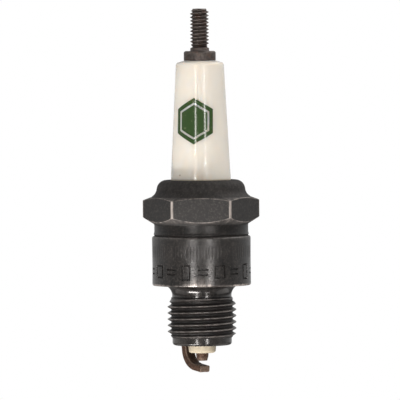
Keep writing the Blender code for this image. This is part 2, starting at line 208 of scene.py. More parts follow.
def finish_mesh(name, points, faces, sharp, wear=None, grime_and_shade=None):
    """Makes the object, with its wear and grime_and_shade and smooth shading up to the angle sharp, in
    degrees.
    """
    mesh = bpy.data.meshes.new(name)
    mesh.from_pydata(points, [], faces)
    for key, values in (("wear", wear), ("grime_and_shade", grime_and_shade)):
        layer = mesh.attributes.new(key, "FLOAT", "POINT")
        layer.data.foreach_set("value", values or [0.0] * len(points))
    shape = bmesh.new()
    shape.from_mesh(mesh)
    bmesh.ops.recalc_face_normals(shape, faces=shape.faces)
    loose = [v for v in shape.verts if not v.link_faces]
    bmesh.ops.delete(shape, geom=loose, context="VERTS")
    shape.to_mesh(mesh)
    shape.free()
    mesh.shade_smooth()
    mesh.set_sharp_from_angle(angle=math.radians(sharp))
    obj = bpy.data.objects.new(name, mesh)
    bpy.context.scene.collection.objects.link(obj)
    return obj


def even_angles(count):
    return [TURN * i / count for i in range(count)]


def merged_angles(degrees):
    """Sorted angles in radians from 0, without near repeats, from a list in degrees."""
    near = 0.04
    kept = []
    for value in sorted(d % 360.0 for d in degrees):
        if not kept or value - kept[-1] > near:
            kept.append(value)
    if 360.0 - kept[-1] < near:
        kept.pop()
    if kept[0] > 1e-6:
        kept.insert(0, 0.0)
    return [math.radians(d) for d in kept]


def apart(a, b):
    """How far apart two directions are, in degrees."""
    return abs((a - b + 180.0) % 360.0 - 180.0)


def arc(centre, radius, start, end, steps):
    points = []
    for i in range(steps + 1):
        angle = math.radians(start + (end - start) * i / steps)
        points.append((centre[0] + radius * math.cos(angle), centre[1] + radius * math.sin(angle)))
    return points


def coat(points, wear=0.0, grime_and_shade=0.0):
    """The outline's points with one amount of wear and grime_and_shade."""
    return [(r, z, wear, grime_and_shade) for r, z in points]


def ramp(value, low, high):
    """Smoothly from 0 at low to 1 at high."""
    share = min(max((value - low) / (high - low), 0.0), 1.0)
    return share * share * (3 - 2 * share)


def grain(x, y, z, seed=0.0):
    """Smooth noise from 0 to 1."""
    return 0.5 + 0.5 * noise.noise(Vector((x + seed, y - seed, z + 2.0 * seed)))


def grain_around(angle, scale, z, seed):
    """The same noise on a circle around the axis."""
    return grain(scale * math.cos(angle), scale * math.sin(angle), z, seed)


# ---- the shell

GAP = 0.3  # between pieces that touch on the real plug
shell_low, shell_high = box_mm("shell")
CRIMP_TOP = shell_high[2]
CRIMP_R = 7.0  # of the crest
CRIMP_ROUND = 1.95
FLARE_END = 9.95
HEX_FLAT = (shell_high[1] - shell_low[1]) / 2
HEX_ROUND = 0.55
HEX_TOP = 17.9
HEX_BOTTOM = 12.4
NECK_R = 9.49
NECK_STEP_Z = 9.98
BODY_R = 9.965
BODY_WAIST = 0.035
HEM_ROUND = 0.32
RELIEF_R = 6.0
FILLET_ROUND = 2.3
FILLET_DROP = 2.1  # of its centre below the seat
PILOT_ROUND = 0.6
SHELL_END = shell_low[2]
CHAMBER_R = 7.6
LOWER_BORE_R = 4.1
SEAT_SLOPE = 0.615
INSULATOR_STEM_R = 6.06
LIP_R = INSULATOR_STEM_R + 0.07

# the cones that cut the hexagon: the height and the radius where each one starts, and its slope
TOP_CONE = (HEX_TOP, FLARE_END, -0.36)
BOTTOM_CONE = (HEX_BOTTOM, NECK_R, 0.605)
EDGE_ROUND = 0.14

THREAD_PITCH = 1.25
THREAD_CREST_Z = -3.7
THREAD_ROOT_R = 6.2
THREAD_CREST_R = 6.95
THREAD_TOP = -2.5
THREAD_BOTTOM = -10.42
# the height where the crests reach the root, and the slope that they rise by from there
THREAD_FADE_TOP = (-2.7, 0.6)
THREAD_FADE_BOTTOM = (-10.3, 1.4)

# down from a crest to a root: the share of the pitch, and the share of the thread's depth there
HALF_THREAD = [(0.0, 1.0), (0.035, 1.0), (0.065, 0.965), (0.1, 0.88), (0.17, 0.68), (0.24, 0.47)]
HALF_THREAD += [(0.31, 0.26), (0.36, 0.12), (0.41, 0.03), (0.46, 0.0)]
THREAD_PROFILE = HALF_THREAD + [(1.0 - share, value) for share, value in reversed(HALF_THREAD[1:])]

MARKS = 18
FIRST_MARK = -168.3  # in degrees
MARK_DEPTH = 0.26
MARK_WALL = 0.05
MARK_LINE = 0.34
DASH_HEIGHTS = (3.47, 2.53)
DASH_HALF = (1.05, 0.18)
# half the width, and the lowest and the highest edge
WIDE_FRAME = (1.2, 1.7, 4.35)
NARROW_FRAME = (0.95, 1.35, 4.5)
TICKS = 80
TICK_DEPTH = 0.035
TICK_HALF = (0.25, 0.95)  # of its floor and of its whole width, in degrees
TICK_START = (5.62, 5.95)
TICK_END = (7.85, 8.2)


def hexagon_radius(angle):
    """Radius of the hexagon with rounded corners, and how near the angle is to a corner, 0 to 1."""
    half = math.radians(30.0)
    off = math.radians(abs((math.degrees(angle) + 30.0) % 60.0 - 30.0))
    centre = (HEX_FLAT - HEX_ROUND) / math.cos(half)
    touch = math.atan2(HEX_ROUND * math.sin(half), centre + HEX_ROUND * math.cos(half))
    if off >= touch:
        radius = HEX_FLAT / math.cos(half - off)
    else:
        radius = centre * math.cos(off) + math.sqrt(HEX_ROUND**2 - (centre * math.sin(off)) ** 2)
    return radius, 1.0 - ramp(off, 0.55 * touch, 1.35 * touch)


def hexagon_angles():
    """Angles that are close together at the corners and even along the sides."""
    degrees = []
    for corner in range(0, 360, 60):
        for step in (0.0, 0.35, 0.7, 1.05, 1.4, 1.7, 2.0, 2.5):
            degrees += [corner + step, corner - step]
        degrees += [corner + 4.0 + 52.0 * i / 30 for i in range(31)]
    return merged_angles(degrees)


class Marks:
    """Generic shallow stamping on the shell's body: a row of dashes and plain frames, and a row of ticks."""

    def __init__(self):
        self.degree = 360.0 / (TURN * BODY_R)  # of one millimetre around the body
        self.wall = MARK_WALL * self.degree
        self.bars = []  # (middle and half width in degrees, lowest and highest edge in mm)
        for i in range(MARKS):
            middle = FIRST_MARK + 360.0 / MARKS * i
            if i % 2 == 0:
                half, half_tall = DASH_HALF
                for height in DASH_HEIGHTS:
                    self.add_bar(middle, half, height - half_tall, height + half_tall)
            else:
                self.add_frame(middle, *(WIDE_FRAME if i % 4 == 1 else NARROW_FRAME))
        self.ticks = [360.0 / TICKS * i + 1.4 * (grain(0.71 * i, 3.1, 0.4) - 0.5) for i in range(TICKS)]

    def add_bar(self, middle, half, low, high):
        self.bars.append((middle, half * self.degree, low, high))

    def add_frame(self, middle, half, low, high):
        self.add_bar(middle, half, high - MARK_LINE, high)
        self.add_bar(middle, half, low, low + MARK_LINE)
        shift = (half - MARK_LINE / 2) * self.degree
        for side in (-shift, shift):
            self.add_bar(middle + side, MARK_LINE / 2, low, high)

    def angles(self):
        degrees = []
        for middle, half, low, high in self.bars:
            for side in (-1, 1):
                degrees += [middle + side * half, middle + side * (half - self.wall)]
        for tick in self.ticks:
            for half in TICK_HALF:
                degrees += [tick - half, tick + half]
        return merged_angles(degrees)

    def heights(self):
        heights = [TICK_START[0], 5.9, 6.5, 7.2, 7.9, TICK_END[1]]
        for middle, half, low, high in self.bars:
            heights += [low, low + MARK_WALL, high - MARK_WALL, high]
        return heights

    def bar(self, angle, height):
        """How deep the dashes and frames are here, from 0 to 1."""
        at = math.degrees(angle)
        deepest = 0.0
        for middle, half, low, high in self.bars:
            across = (half - apart(at, middle)) / self.wall
            along = min(height - low, high - height) / MARK_WALL
            deepest = max(deepest, min(across, along, 1.0))
        return deepest

    def tick(self, angle, height):
        """How deep the ticks are here, from 0 to 1."""
        at = math.degrees(angle)
        index = round(at * TICKS / 360.0) % TICKS
        strength = 0.35 + 0.65 * grain(index * 0.37, 0.2, height * 0.25)
        across = 1.0 - ramp(apart(at, self.ticks[index]), *TICK_HALF)
        return across * ramp(height, *TICK_START) * (1.0 - ramp(height, *TICK_END)) * strength


def flank_shape(root, crest, fade_top, fade_bottom, crest_wear, seed):
    """shape() for Skin.helix: a thread that fades out at both ends, with slightly nicked crests."""

    def shape(value, height, angle):
        limit = min(
            root + (fade_top[0] - height) * fade_top[1],
            root + (height - fade_bottom[0]) * fade_bottom[1],
        )
        nick = max(0.0, grain_around(angle, 2.2, height * 1.3, seed) - 0.62) * 0.35 * value
        radius = min(root + (crest - root) * value, max(root, limit)) - nick * (crest - root)
        rubbed = 0.55 + 0.45 * grain_around(angle, 2.2, height, seed + 3.0)
        return radius, crest_wear * ramp(value, 0.8, 1.0) * rubbed, 1.0 - ramp(value, 0.0, 0.5)

    return shape


def on_cone(cone, radius):
    """Height of a cone at a radius."""
    start_z, start_r, slope = cone
    return start_z + (radius - start_r) * slope


def shell_crimp(skin, around):
    """The crimped lip, from its inner edge over the crest to the flare above the hexagon."""
    crimp = [(LIP_R, 20.35), (LIP_R, 20.72), (LIP_R + 0.1, 21.0), (LIP_R + 0.36, 21.2)]
    crimp.append((CRIMP_R - 0.2, CRIMP_TOP - 0.01))
    crimp += arc((CRIMP_R, CRIMP_TOP - CRIMP_ROUND), CRIMP_ROUND, 90.0, 12.0, 14)
    crimp += arc((10.95, 19.7), 2.0, 185.0, 238.0, 9)

    def formed(radius, height):
        def shape(angle):
            wave = 0.05 * (grain_around(angle, 1.6, height * 0.3, 5.0) - 0.7) * ramp(radius, 6.4, 8.0)
            return radius + wave, height, 0.02, 0.9 * (1.0 - ramp(radius, 6.4, 7.0))

        return shape

    skin.shaped_rings(around, crimp, formed)


def shell_hexagon(skin, around):
    """The hexagon between the cones that cut it, with its edges a little round and rubbed bright."""

    def cone_end(cone):
        def shape(angle):
            radius, corner = hexagon_radius(angle)
            inner = radius - EDGE_ROUND
            return inner, on_cone(cone, inner), 0.3 * (0.45 + 0.55 * corner), 0.0

        return shape

    def edge(cone, rise):
        def shape(angle):
            radius, corner = hexagon_radius(angle)
            return radius - 0.045, on_cone(cone, radius) + rise, 0.45 + 0.55 * corner, 0.0

        return shape

    def side(share):
        def shape(angle):
            radius, corner = hexagon_radius(angle)
            top = on_cone(TOP_CONE, radius) - 0.13
            bottom = on_cone(BOTTOM_CONE, radius) + 0.13
            return radius, bottom + (top - bottom) * share, corner, 0.0

        return shape

    skin.rings(around, coat([(FLARE_END + 0.02, HEX_TOP)], 0.02))
    skin.ring(around, cone_end(TOP_CONE))
    skin.ring(around, edge(TOP_CONE, -0.02))
    for share in (1.0, 0.97, 0.8, 0.6, 0.4, 0.2, 0.03, 0.0):
        skin.ring(around, side(share))
    skin.ring(around, edge(BOTTOM_CONE, 0.02))
    skin.ring(around, cone_end(BOTTOM_CONE))


def shell_neck(skin, around):
    """The neck under the hexagon, and the bead at its foot."""
    neck = [(NECK_R + 0.1, HEX_BOTTOM + 0.05), (NECK_R + 0.02, HEX_BOTTOM - 0.06)]
    neck += [(NECK_R, HEX_BOTTOM - 0.2), (NECK_R, 11.6), (NECK_R, 10.85)]
    neck += [(NECK_R + 0.04, 10.66), (NECK_R + 0.12, 10.44), (NECK_R + 0.12, 10.33)]
    skin.rings(around, coat(neck))


def hem_wear(angle, height):
    """The body's lower edge is rubbed bright in a ragged patch on the front, and a little all round."""
    off = apart(math.degrees(angle), -95.0)
    ragged = 0.55 * grain(6.0 * angle, 0.4, 0.9, 51.0) + 0.25 * grain(19.0 * angle, 0.4, 0.9, 53.0)
    patch = (1.0 - ramp(off, 8.0, 20.0)) * (1.0 - ramp(height, 0.2 + 0.4 * ragged, 0.5 + 0.8 * ragged))
    haze = (1.0 - ramp(off, 4.0, 20.0)) * (1.0 - ramp(height, 0.6, 2.4))
    edge = (0.15 + 0.85 * ramp(off, 38.0, 50.0)) * (1.0 - ramp(height, 0.15, 0.5))
    return max(0.95 * patch, 0.3 * haze, edge, 0.012)


def shell_body(skin, marks, around):
    """The groove under the neck, and the stamped body down to its rounded hem and the seat."""
    groove = [(NECK_R + 0.01, 10.22), (NECK_R, 10.06), (NECK_R + 0.09, NECK_STEP_Z)]
    shoulder = [(BODY_R - 0.225, 9.95), (BODY_R - 0.115, 9.87), (BODY_R - 0.035, 9.75)]
    # the groove under the neck is darkened all round: a painted line of shade where the neck meets the body
    skin.rings(around, coat(groove, 0.0, 1.0))
    skin.rings(around, coat(shoulder, 0.1))
    skin.rings(around, coat([(BODY_R, 9.5)], 0.03))

    def stamped(height):
        waist = BODY_R - BODY_WAIST * math.sin(math.pi * min(max((height - 0.3) / 9.3, 0.0), 1.0))

        def shape(angle):
            bar = marks.bar(angle, height)
            tick = marks.tick(angle, height)
            # the floors of the stamping and the ticks are darkened: dirt, and painted shade in the recesses
            floor = max(bar, 0.8 * tick)
            radius = waist - bar * MARK_DEPTH - tick * TICK_DEPTH
            return radius, height, hem_wear(angle, height) * (1.0 - floor), floor

        return shape

    def hem(radius, height):
        return lambda angle: (radius, height, hem_wear(angle, height), 0.0)

    between = [9.1, 8.6, 5.1, 4.7, 0.95, 0.75, 0.5]
    for height in sorted({round(h, 3) for h in marks.heights() + between}, reverse=True):
        skin.ring(around, stamped(height))
    skin.shaped_rings(around, arc((BODY_R - HEM_ROUND, HEM_ROUND), HEM_ROUND, 0.0, -90.0, 5), hem)
    skin.rings(around, coat([(9.4, 0.0)], 0.1))


def shell_thread(skin, around):
    """The seat and the fillet under it, the thread, and the plain pilot below it."""
    skin.rings(around, coat([(9.0, 0.0), (8.2, 0.0), (7.55, 0.0)], 0.04))
    fillet_start = 180.0 - math.degrees(math.asin(FILLET_DROP / FILLET_ROUND))
    fillet = arc((RELIEF_R + FILLET_ROUND, -FILLET_DROP), FILLET_ROUND, fillet_start, 180.0, 12)
    skin.rings(around, coat(fillet, 0.02))
    skin.rings(around, coat([(RELIEF_R, THREAD_TOP + 0.2)]))
    skin.rings(around, coat([(THREAD_ROOT_R, THREAD_TOP)], 0.0, 0.5))
    shape = flank_shape(THREAD_ROOT_R, THREAD_CREST_R, THREAD_FADE_TOP, THREAD_FADE_BOTTOM, 0.3, 7.0)
    bottom = (THREAD_ROOT_R, THREAD_BOTTOM, 0.0, 0.6)
    skin.helix(bottom, THREAD_PITCH, THREAD_CREST_Z, THREAD_PROFILE, shape)
    pilot = [(RELIEF_R, THREAD_BOTTOM - 0.2), (RELIEF_R, -11.0), (RELIEF_R, -11.35)]
    pilot += arc((RELIEF_R - PILOT_ROUND, SHELL_END + PILOT_ROUND), PILOT_ROUND, 0.0, -90.0, 8)
    skin.rings(around, coat(pilot, 0.03))
    skin.rings(around, coat([(4.6, SHELL_END), (4.3, SHELL_END)], 0.1, 0.6))


def seat_z(radius):
    """Height of the conical seat inside the shell."""
    return 4.0 - (CHAMBER_R - radius) * SEAT_SLOPE


def shell_bore(skin, around):
    """Up past the nose to the inner seat, the chamber, and the underside of the lip."""
    bore = [(LOWER_BORE_R + 0.06, SHELL_END + 0.04), (LOWER_BORE_R, SHELL_END + 0.14), (LOWER_BORE_R, -9.0)]
    bore += [(LOWER_BORE_R, seat_z(LOWER_BORE_R)), (CHAMBER_R, seat_z(CHAMBER_R))]
    bore += [(CHAMBER_R, 20.25), (LIP_R + 0.1, 20.25)]
    skin.rings(around, coat(bore, 0.0, 0.8))


def make_shell():
    skin = Skin()
    hexed = hexagon_angles()
    marks = Marks()
    shell_crimp(skin, hexed)
    shell_hexagon(skin, hexed)
    shell_neck(skin, hexed)
    shell_body(skin, marks, marks.angles())
    shell_thread(skin, even_angles(180))
    shell_bore(skin, even_angles(120))
    skin.close()
    return skin.finish("plug_shell")


# ---- the insulator and its printed mark

insulator_low, insulator_high = box_mm("insulator")
INSULATOR_TOP = insulator_high[2] + GAP - 0.02  # up to the flange it carries
INSULATOR_END = insulator_low[2]
TOP_R = 4.86
TOP_ROUND = 0.65
TOP_ROUND_Z = 44.4  # of its centre
STEM_SLOPE = (TOP_R - INSULATOR_STEM_R) / (TOP_ROUND_Z - CRIMP_TOP)
BAND_R = CHAMBER_R - GAP
BAND_TOP = 13.6
GASKET = 0.5
NOSE_TOP = (3.75, 1.5)
NOSE_END_R = 2.75
NOSE_ROUND = 0.6
UPPER_BORE_R = 2.15
WIRE_BORE_R = 1.35

BADGE_Z = 33.2
BADGE_ANGLE = math.radians(-104.0)
BADGE_HALF_TALL = 4.65
BADGE_HALF_WIDE = 3.95
BADGE_LIFT = 0.022
BADGE_SINK = 0.03
BADGE_OUTLINE = [(0.0, 1.0), (1.0, 0.52), (1.0, -0.52), (0.0, -1.0), (-1.0, -0.52), (-1.0, 0.52)]


def stem_radius(height):
    """Radius of the tapered stem above the crimp."""
    return INSULATOR_STEM_R + STEM_SLOPE * (height - CRIMP_TOP)


def make_insulator():
    skin = Skin()
    above_seat = (GASKET + 2 * GAP) * math.hypot(1.0, SEAT_SLOPE)
    top, end = INSULATOR_TOP, INSULATOR_END
    outline = [(UPPER_BORE_R, top - 0.4), (UPPER_BORE_R + 0.15, top - 0.06), (UPPER_BORE_R + 0.4, top)]
    outline += [(3.2, top), (3.45, top - 0.02), (3.7, top - 0.09), (3.95, top - 0.18), (4.2, top - 0.28)]
    outline += arc((TOP_R - TOP_ROUND, TOP_ROUND_Z), TOP_ROUND, 75.0, 2.0, 9)
    outline += [(stem_radius(height), height) for height in (43.6, 22.0, 21.6, 21.4, CRIMP_TOP)]
    outline += [(INSULATOR_STEM_R, 20.6), (INSULATOR_STEM_R, 14.5)]
    outline += [(BAND_R - 0.2, BAND_TOP + 0.15), (BAND_R, BAND_TOP), (BAND_R, seat_z(BAND_R) + above_seat)]
    nose_r, nose_z = NOSE_TOP
    outline += [(nose_r, seat_z(nose_r) + above_seat), NOSE_TOP]
    # the cone's last stretch is short, so that its shading stays straight up to the rounded end
    share = 0.9
    outline.append((nose_r + share * (NOSE_END_R - nose_r), nose_z + share * (end + NOSE_ROUND - nose_z)))
    outline += arc((NOSE_END_R - NOSE_ROUND, end + NOSE_ROUND), NOSE_ROUND, 3.0, -90.0, 9)
    outline += [(1.7, end), (WIRE_BORE_R + 0.1, end), (WIRE_BORE_R, end + 0.1)]
    outline += [(WIRE_BORE_R, -8.0), (WIRE_BORE_R, 1.6), (UPPER_BORE_R, 2.4), (UPPER_BORE_R, 20.0)]
    # dirty from the crimp down, also where the nose shows
    coated = [(r, z, 0.0, 1.0 - ramp(z, CRIMP_TOP, CRIMP_TOP + 0.3)) for r, z in outline]
    skin.rings(even_angles(160), coated)
    skin.close()
    return skin.finish("plug_insulator", sharp=40.0)


def badge_spot(share):
    """The point that is this share of the way round the badge's outline."""
    side, along = divmod(share * len(BADGE_OUTLINE), 1)
    x0, y0 = BADGE_OUTLINE[int(side)]
    x1, y1 = BADGE_OUTLINE[(int(side) + 1) % len(BADGE_OUTLINE)]
    return (x0 + (x1 - x0) * along) * BADGE_HALF_WIDE, (y0 + (y1 - y0) * along) * BADGE_HALF_TALL


def on_stem(across, up, lift):
    """A point in metres on the stem's front, from the badge's middle."""
    height = BADGE_Z + up
    radius = stem_radius(height)
    angle = BADGE_ANGLE + across / radius
    return ((radius + lift) * math.cos(angle) * MM, (radius + lift) * math.sin(angle) * MM, height * MM)


def make_print():
    """A plain printed badge on the stem: a filled hexagon inside a hexagonal line."""
    points, faces = [], []
    around = 72

    def layer_of(scales, lift):
        """A ring of points for each scale; a scale of 0 is one point, which stands for a whole ring."""
        layer = []
        for scale in scales:
            start = len(points)
            if scale == 0.0:
                points.append(on_stem(0.0, 0.0, lift))
                layer.append([start] * around)
                continue
            for i in range(around):
                across, up = badge_spot(i / around)
                points.append(on_stem(across * scale, up * scale, lift))
            layer.append(list(range(start, start + around)))
        return layer

    def band(scales):
        """A closed slab between the first and the last scale."""
        top = layer_of(scales, BADGE_LIFT)
        under = layer_of(scales, -BADGE_SINK)
        pairs = [*zip(top, top[1:]), *zip(under, under[1:]), (top[-1], under[-1])]
        if scales[0] > 0.0:
            pairs.append((top[0], under[0]))
        for a, b in pairs:
            faces.extend(faces_between(a, b))

    band([i / 10 for i in range(8)])
    band([0.8, 0.9, 1.0])
    obj = finish_mesh("plug_print", points, faces, 40.0)
    # the ink film shines like the glaze under it, so it takes the stem's own normals
    normals = []
    for vertex in obj.data.vertices:
        x, y, _ = vertex.co
        normals.append(Vector((x, y, -STEM_SLOPE * math.hypot(x, y))).normalized())
    obj.data.normals_split_custom_set_from_vertices(normals)
    return obj


# ---- the terminal stud

stud_low, stud_high = box_mm("terminal_stud")
STUD_TOP = stud_high[2]
STUD_DIP = STUD_TOP - 0.07  # the middle of its cut end
STUD_END = stud_low[2]
STUD_PITCH = 0.7
STUD_CREST_Z = 55.14
STUD_ROOT_R = 1.44
STUD_CREST_R = 1.9
STUD_FADE_TOP = (55.6, 1.2)
STUD_FADE_BOTTOM = (48.0, 0.5)
FLANGE_R = stud_high[0]
FLANGE_TOP = 47.3
FLANGE_TOP_ROUND = 0.45
FLANGE_BOTTOM = 45.35
FLANGE_BOTTOM_ROUND = 0.16
SHANK_R = 1.9
GROOVES = 5
GROOVES_TOP = 13.2
GROOVE_CREST_R = 1.55
GROOVE_ROOT_R = 1.33


def make_stud():
    skin = Skin()
    around = even_angles(112)

    def cut_end(radius):
        def shape(angle):
            x, y = radius * math.cos(angle), radius * math.sin(angle)
            return radius, STUD_TOP - 0.02 - 0.1 * grain(1.1 * x, 1.9 * y, 0.3, 11.0), 0.4, 0.3

        return shape

    skin.rings(around, coat([(0.4, STUD_DIP)], 0.4, 0.3))
    skin.fan(STUD_DIP)
    for radius in (0.8, 1.1, 1.28):
        skin.ring(around, cut_end(radius))
    skin.rings(around, coat([(1.38, STUD_TOP - 0.16)], 0.5, 0.3))
    skin.rings(around, coat([(STUD_ROOT_R, STUD_TOP - 0.27)], 0.2, 0.3))
    shape = flank_shape(STUD_ROOT_R, STUD_CREST_R, STUD_FADE_TOP, STUD_FADE_BOTTOM, 0.5, 21.0)
    skin.helix((STUD_ROOT_R, 48.08, 0.0, 0.6), STUD_PITCH, STUD_CREST_Z, THREAD_PROFILE, shape)
    collar = [(SHANK_R - 0.28, 48.0), (SHANK_R - 0.08, 47.93), (SHANK_R, 47.8), (SHANK_R, 47.42)]
    collar.append((SHANK_R + 0.05, FLANGE_TOP + 0.02))
    skin.rings(around, coat(collar, 0.15, 0.2))

    def flange(radius, height):
        def shape(angle):
            dent = 0.003 * grain_around(angle, 1.3, height, 31.0) * ramp(radius, 2.6, 3.1)
            return radius - dent, height, 0.12, 0.1

        return shape

    rim = [(2.1, FLANGE_TOP), (2.5, FLANGE_TOP)]
    rounded = FLANGE_TOP_ROUND
    rim += arc((FLANGE_R - rounded, FLANGE_TOP - rounded), rounded, 90.0, 0.0, 7)
    rim += [(FLANGE_R, 46.4), (FLANGE_R, FLANGE_BOTTOM + 0.22)]
    rounded = FLANGE_BOTTOM_ROUND
    rim += arc((FLANGE_R - rounded, FLANGE_BOTTOM + rounded), rounded, 0.0, -90.0, 4)
    skin.shaped_rings(around, rim, flange)

    shank = [(SHANK_R + 0.5, FLANGE_BOTTOM), (SHANK_R + 0.05, FLANGE_BOTTOM), (SHANK_R, FLANGE_BOTTOM - 0.05)]
    shank += [(SHANK_R, GROOVES_TOP + 0.3), (GROOVE_CREST_R, GROOVES_TOP)]
    pitch = (GROOVES_TOP - STUD_END) / (GROOVES + 1)
    for i in range(GROOVES):
        crest = GROOVES_TOP - i * pitch
        shank += [(GROOVE_CREST_R, crest - 0.05), (1.4, crest - 0.3 * pitch)]
        shank += [(GROOVE_ROOT_R, crest - 0.5 * pitch), (1.4, crest - 0.7 * pitch)]
        shank.append((GROOVE_CREST_R, crest - pitch + 0.05))
    shank += [(GROOVE_CREST_R, STUD_END + 0.3), (GROOVE_CREST_R - 0.3, STUD_END)]
    skin.rings(even_angles(56), coat(shank))
    skin.fan(STUD_END)
    return skin.finish("plug_terminal_stud")


# ---- the electrodes

electrode_low, electrode_high = box_mm("centre_electrode")
ELECTRODE_END = electrode_low[2]
ELECTRODE_TOP = electrode_high[2]
ELECTRODE_R = 1.25
ELECTRODE_HEAD_R = 2.0
CORE_HOLE_R = 0.75
CORE_HOLE_END = -14.0
EROSION = 0.9  # how far up the firing end is eroded

STRIP_TOP = box_mm("ground_electrode")[1][2]
STRIP_AZIMUTH = math.radians(129.0)
STRIP_WIDE = 2.5
STRIP_THICK = 1.35
STRIP_OUTER_R = 5.37  # of its outer face, where it is welded on
STRIP_LEAN = 7.1
STRIP_LEG = 1.25
STRIP_BEND = 74.6
STRIP_BEND_R = 4.45  # of its outer face
STRIP_FOOT = 2.27
STRIP_EDGE_ROUND = 0.3
STRIP_END_ROUND = 0.22


def make_centre_electrode():
    """The firing end is eroded: narrower towards the gap, with a rounded edge and small pits."""
    skin = Skin()
    end = ELECTRODE_END
    small = even_angles(48)
    skin.rings(small, coat([(0.4, CORE_HOLE_END)]))
    skin.fan(CORE_HOLE_END)
    body = [(CORE_HOLE_R, CORE_HOLE_END), (CORE_HOLE_R, ELECTRODE_TOP), (ELECTRODE_HEAD_R, ELECTRODE_TOP)]
    body += [(ELECTRODE_HEAD_R, 2.6), (ELECTRODE_R, 1.8), (ELECTRODE_R, -12.0)]
    skin.rings(small, coat(body))

    def eroded(radius, height):
        near = 1.0 - ramp(height, end, end + EROSION)

        def shape(angle):
            pit = 0.09 * near * max(0.0, grain_around(angle, 3.0, 2.5 * height, 41.0) - 0.45)
            lift = 0.12 * near * max(0.0, grain_around(angle, 3.0 * radius, 1.0, 43.0) - 0.4)
            return radius - pit, height + lift, 0.25 * near, near

        return shape

    tip = [(ELECTRODE_R, -13.4), (ELECTRODE_R, -13.8), (ELECTRODE_R, -14.1), (1.22, -14.4)]
    tip += [(1.17, -14.65), (1.11, -14.85), (1.05, -15.0)]
    tip += arc((0.85, end + 0.2), 0.2, 0.0, -90.0, 5) + [(0.6, end), (0.3, end)]
    skin.shaped_rings(even_angles(96), tip, eroded)
    skin.fan(end)
    return skin.finish("plug_centre_electrode")


def strip_path():
    """The strip's middle line as (radius, height, heading), the heading in radians from straight down."""
    path = []

    def straight(start, heading, reaches):
        for reach in reaches:
            radius = start[0] - reach * math.sin(heading)
            path.append((radius, start[1] - reach * math.cos(heading), heading))

    half = STRIP_THICK / 2
    lean = math.radians(STRIP_LEAN)
    sunk = 0.18  # into the shell
    straight((STRIP_OUTER_R - half, STRIP_TOP), lean, [-sunk] + [STRIP_LEG * i / 5 for i in range(5)])
    bend_r = STRIP_BEND_R - half
    centre_r = STRIP_OUTER_R - half - STRIP_LEG * math.sin(lean) - bend_r * math.cos(lean)
    centre_z = STRIP_TOP - STRIP_LEG * math.cos(lean) + bend_r * math.sin(lean)
    steps = 36
    for i in range(steps + 1):
        turned = math.radians(STRIP_LEAN + STRIP_BEND * i / steps)
        path.append((centre_r + bend_r * math.cos(turned), centre_z - bend_r * math.sin(turned), turned))
    straight(path[-1], path[-1][2], [STRIP_FOOT * i / 12 for i in range(1, 13)])
    return path


def strip_stations():
    """The path with how far each section is drawn in, which rounds the free end."""
    path = strip_path()
    stations = [(*spot, 0.0) for spot in path[:-1]]
    radius, height, heading = path[-1]
    for i in range(7):
        turned = math.radians(90.0 * i / 6)
        back = STRIP_END_ROUND * (1 - math.sin(turned))
        inset = STRIP_END_ROUND * (1 - math.cos(turned))
        spot = (radius + back * math.sin(heading), height + back * math.cos(heading))
        stations.append((*spot, heading, inset))
    return stations


def strip_section(inset):
    """A rounded rectangle as (across, through), drawn in by inset."""
    edge_round = STRIP_EDGE_ROUND - 0.4 * inset
    wide = STRIP_WIDE / 2 - inset - edge_round
    thick = STRIP_THICK / 2 - inset - edge_round
    corners = []
    for quarter, (x, y) in enumerate([(wide, thick), (-wide, thick), (-wide, -thick), (wide, -thick)]):
        corners.append(arc((x, y), edge_round, quarter * 90.0, quarter * 90.0 + 90.0, 6))
    section = []
    for corner, after in zip(corners, corners[1:] + corners[:1]):
        section += corner
        (x0, y0), (x1, y1) = corner[-1], after[0]
        section += [(x0 + (x1 - x0) * k / 5, y0 + (y1 - y0) * k / 5) for k in range(1, 5)]
    return section


def make_ground_electrode():
    points, wear, grime_and_shade = [], [], []
    stations = strip_stations()
    out = Vector((math.cos(STRIP_AZIMUTH), math.sin(STRIP_AZIMUTH), 0.0))
    side = Vector((-math.sin(STRIP_AZIMUTH), math.cos(STRIP_AZIMUTH), 0.0))
    up = Vector((0.0, 0.0, 1.0))

    sections = []

    for n, (radius, height, heading, inset) in enumerate(stations):
        middle = out * radius + up * height
        outward = out * math.cos(heading) + up * -math.sin(heading)
        flare = 0.1 * (1.0 - ramp(n, 0.0, 4.0))
        start = len(points)
        for across, through in strip_section(inset):
            place = middle + side * across * (1 + 0.3 * flare) + outward * through * (1 + flare)
            rough = 0.05 * (noise.noise(place * 1.9) - 0.4) * (0.3 + 0.7 * n / len(stations))
            place += (side * across + outward * through).normalized() * min(0.0, rough)
            points.append(place * MM)
            edge = min(abs(across) / (STRIP_WIDE / 2), 1.0) * min(abs(through) / (STRIP_THICK / 2), 1.0)
            wear.append(ramp(edge, 0.72, 0.9) * 0.8 + (0.35 if inset > 0.02 else 0.0))
            grime_and_shade.append(1.0 - ramp(through, -0.6, 0.1))
        sections.append(list(range(start, len(points))))

    # the free end's face is two smaller loops and a cap
    for shrink in (0.7, 0.5):
        start = len(points)
        for corner in sections[-1]:
            points.append((middle + (points[corner] / MM - middle) * shrink) * MM)
            wear.append(0.3)
            grime_and_shade.append(0.2)
        sections.append(list(range(start, len(points))))

    faces = [sections[0], sections[-1]]
    for a, b in zip(sections, sections[1:]):
        faces += faces_between(a, b)
    return finish_mesh("plug_ground_electrode", points, faces, 35.0, wear, grime_and_shade)


# ---- materials


